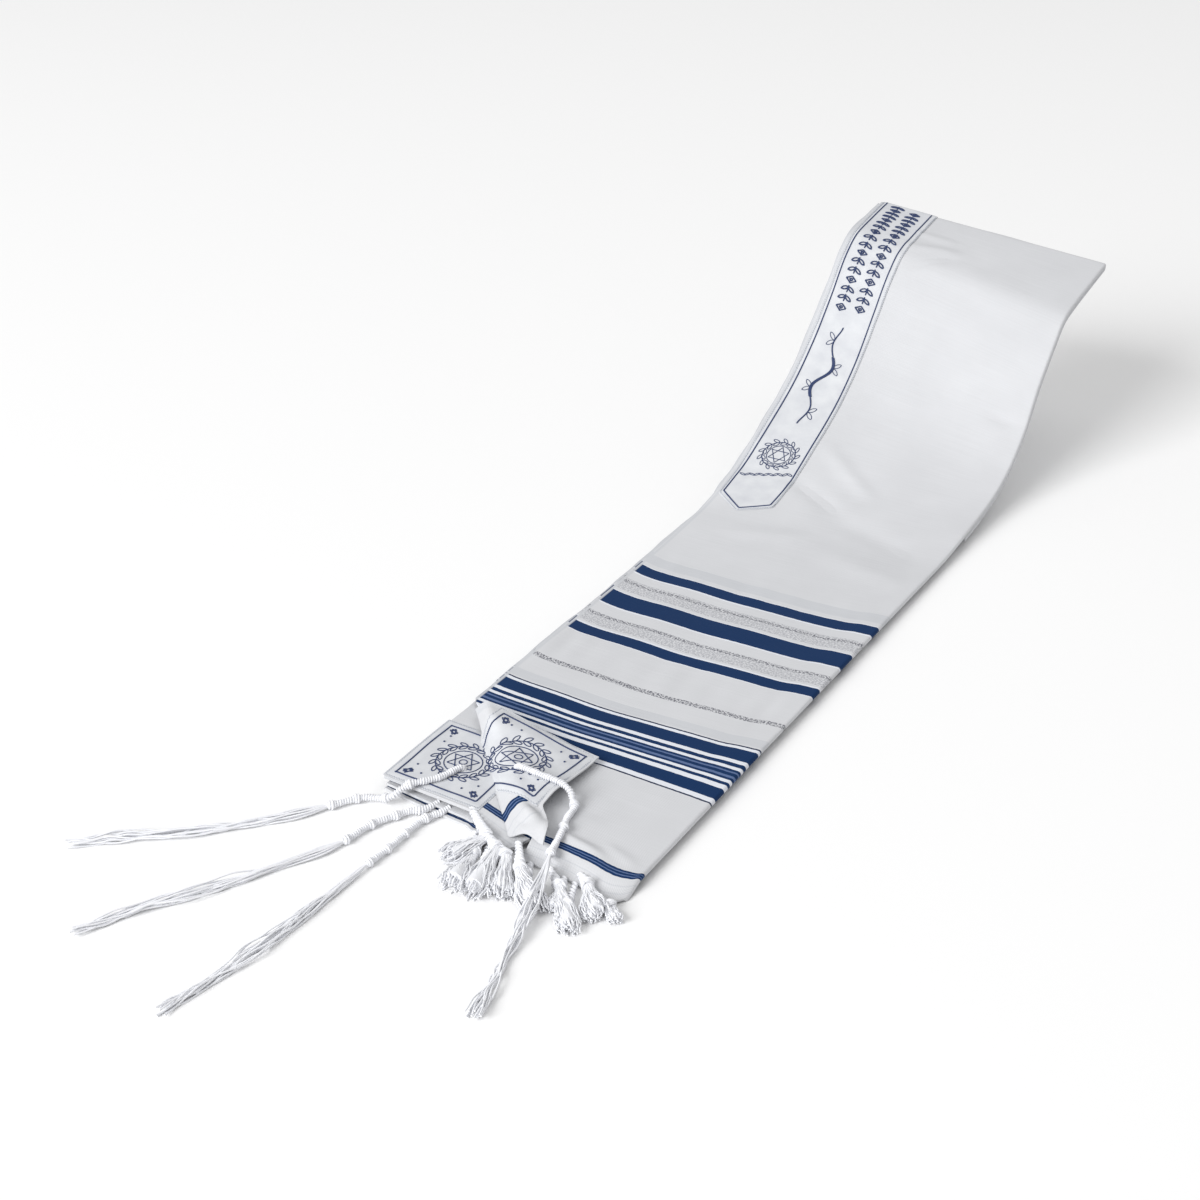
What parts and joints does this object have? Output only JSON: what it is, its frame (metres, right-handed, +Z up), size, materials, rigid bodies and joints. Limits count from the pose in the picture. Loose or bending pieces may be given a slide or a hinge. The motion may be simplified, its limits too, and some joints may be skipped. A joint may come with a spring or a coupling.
{
  "type": "folded prayer shawl",
  "caption": "Folded woven prayer shawl with blue stripes, a ribbon neckband, corner patches, knotted corner tassels and a hem fringe.",
  "frame": {"origin": "on the flat underside of the stack, halfway across it and 0.27 m in from the lower edge of the end stripe", "axes": "+Z up from the table, +Y along the stack from the tasselled end to the raised cross fold, +X from the open edges to the lengthwise fold"},
  "size_m": [0.4049, 1.2278, 0.1996],
  "materials": {
    "woven_acrylic": "matte",
    "satin_ribbon": "satin",
    "cotton_thread": "matte"
  },
  "bodies": {
    "root": {"upper_layer": "woven_acrylic", "inner_layers": "woven_acrylic", "turned_corner": "woven_acrylic", "patch_left": "satin_ribbon", "patch_right": "satin_ribbon", "neckband": "satin_ribbon", "tzitzit_1": "cotton_thread", "tzitzit_2": "cotton_thread", "tzitzit_3": "cotton_thread", "tzitzit_4": "cotton_thread", "fringe_1": "cotton_thread", "fringe_2": "cotton_thread", "fringe_3": "cotton_thread", "fringe_4": "cotton_thread", "fringe_5": "cotton_thread", "fringe_6": "cotton_thread", "fringe_7": "cotton_thread", "fringe_8": "cotton_thread", "fringe_9": "cotton_thread"}
  },
  "joints": []
}
